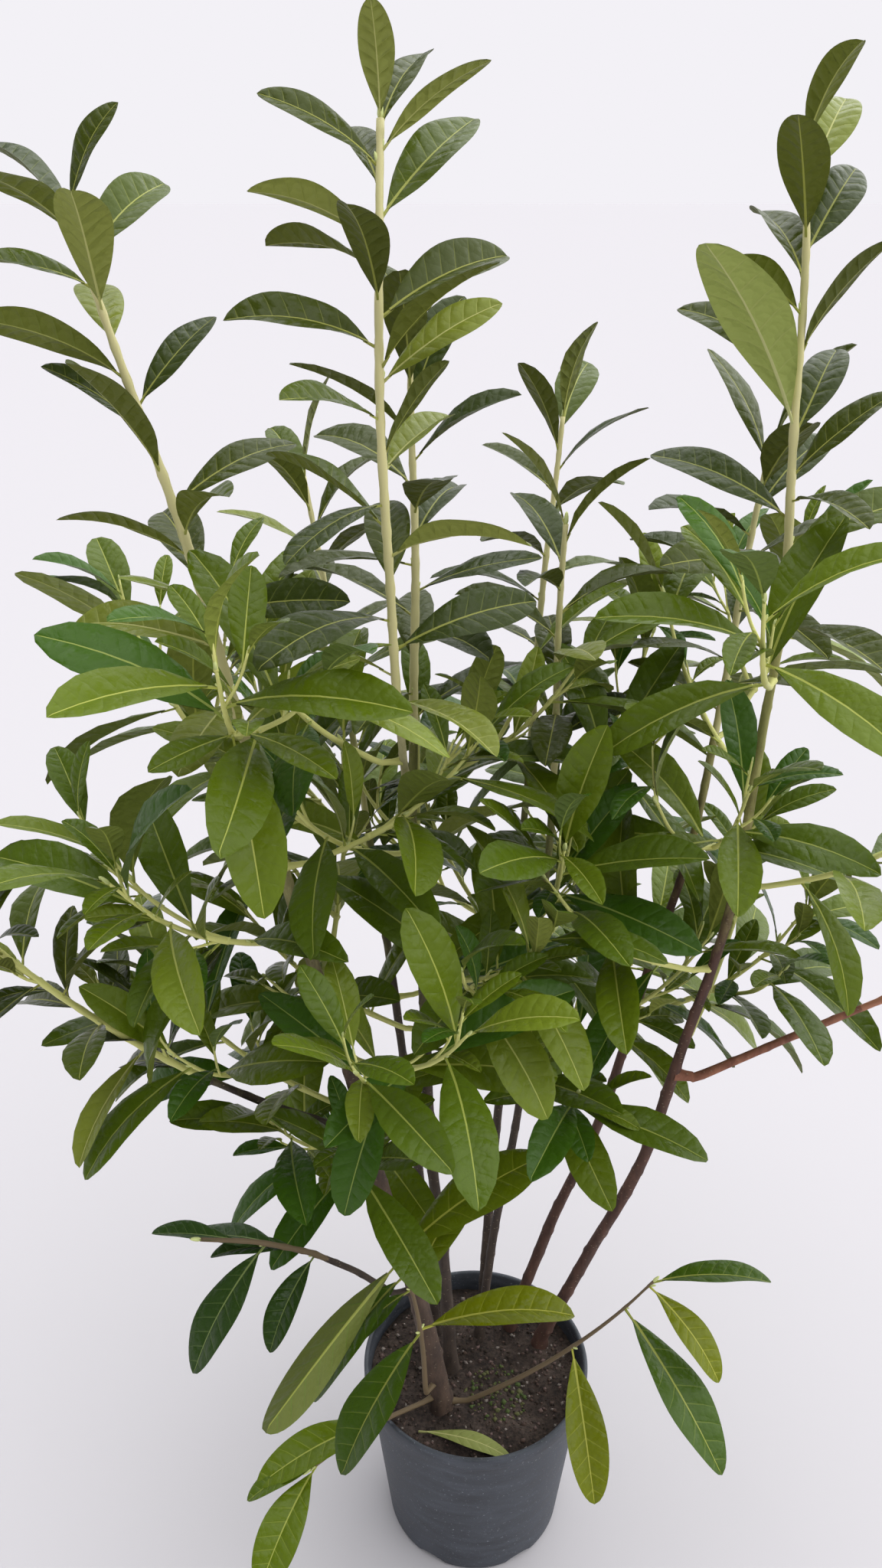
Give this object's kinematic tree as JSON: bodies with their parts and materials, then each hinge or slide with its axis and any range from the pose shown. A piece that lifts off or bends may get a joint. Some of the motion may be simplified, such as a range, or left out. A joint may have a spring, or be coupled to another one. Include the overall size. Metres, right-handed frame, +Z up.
{
  "type": "potted cherry laurel",
  "caption": "Evergreen cherry laurel shrub with several upright leafy stems in a round tapered nursery pot, to stand on a floor or patio.",
  "frame": {"origin": "middle of the pot's flat underside", "axes": "+Z up along the stems, -Y towards the viewer of the picture, +X to the viewer's right"},
  "size_m": [1.0477, 0.6366, 1.4559],
  "materials": {
    "pot_plastic": "matte",
    "compost": "rough",
    "stem_bark": "rough",
    "bough_bark": "smooth bark",
    "laurel_leaf": "leathery gloss"
  },
  "bodies": {
    "root": {"back_left_stem": "stem_bark", "back_right_stem": "stem_bark", "centre_stem": "stem_bark", "foliage_back_left_stem_1": "laurel_leaf", "foliage_back_left_stem_2": "laurel_leaf", "foliage_back_left_stem_3": "laurel_leaf", "foliage_back_left_stem_top": "laurel_leaf", "foliage_back_right_stem_1": "laurel_leaf", "foliage_back_right_stem_2": "laurel_leaf", "foliage_back_right_stem_3": "laurel_leaf", "foliage_back_right_stem_top": "laurel_leaf", "foliage_centre_stem_1": "laurel_leaf", "foliage_centre_stem_2": "laurel_leaf", "foliage_centre_stem_3": "laurel_leaf", "foliage_centre_stem_4": "laurel_leaf", "foliage_centre_stem_5": "laurel_leaf", "foliage_centre_stem_top": "laurel_leaf", "foliage_front_leader_1": "laurel_leaf", "foliage_front_leader_top": "laurel_leaf", "foliage_front_low_twig": "laurel_leaf", "foliage_front_twig": "laurel_leaf", "foliage_left_bough_top": "laurel_leaf", "foliage_left_stem_1": "laurel_leaf", "foliage_left_stem_2": "laurel_leaf", "foliage_left_stem_3": "laurel_leaf", "foliage_left_stem_4": "laurel_leaf", "foliage_left_stem_5": "laurel_leaf", "foliage_left_stem_6": "laurel_leaf", "foliage_left_stem_7": "laurel_leaf", "foliage_left_stem_top": "laurel_leaf", "foliage_low_left_bough_top": "laurel_leaf", "foliage_low_right_twig": "laurel_leaf", "foliage_middle_stem_1": "laurel_leaf", "foliage_middle_stem_2": "laurel_leaf", "foliage_middle_stem_3": "laurel_leaf", "foliage_middle_stem_4": "laurel_leaf", "foliage_middle_stem_top": "laurel_leaf", "foliage_red_stem_1": "laurel_leaf", "foliage_red_stem_2": "laurel_leaf", "foliage_red_stem_3": "laurel_leaf", "foliage_red_stem_4": "laurel_leaf", "foliage_red_stem_5": "laurel_leaf", "foliage_red_stem_top": "laurel_leaf", "foliage_right_bough_top": "laurel_leaf", "foliage_right_stem_1": "laurel_leaf", "foliage_right_stem_2": "laurel_leaf", "foliage_right_stem_3": "laurel_leaf", "foliage_right_stem_4": "laurel_leaf", "foliage_right_stem_5": "laurel_leaf", "foliage_right_stem_top": "laurel_leaf", "front_leader": "bough_bark", "left_bough": "bough_bark", "left_stem": "stem_bark", "low_left_bough": "bough_bark", "middle_stem": "stem_bark", "pot": "pot_plastic", "red_stem": "stem_bark", "right_bough": "bough_bark", "right_stem": "stem_bark", "soil": "compost"}
  },
  "joints": []
}
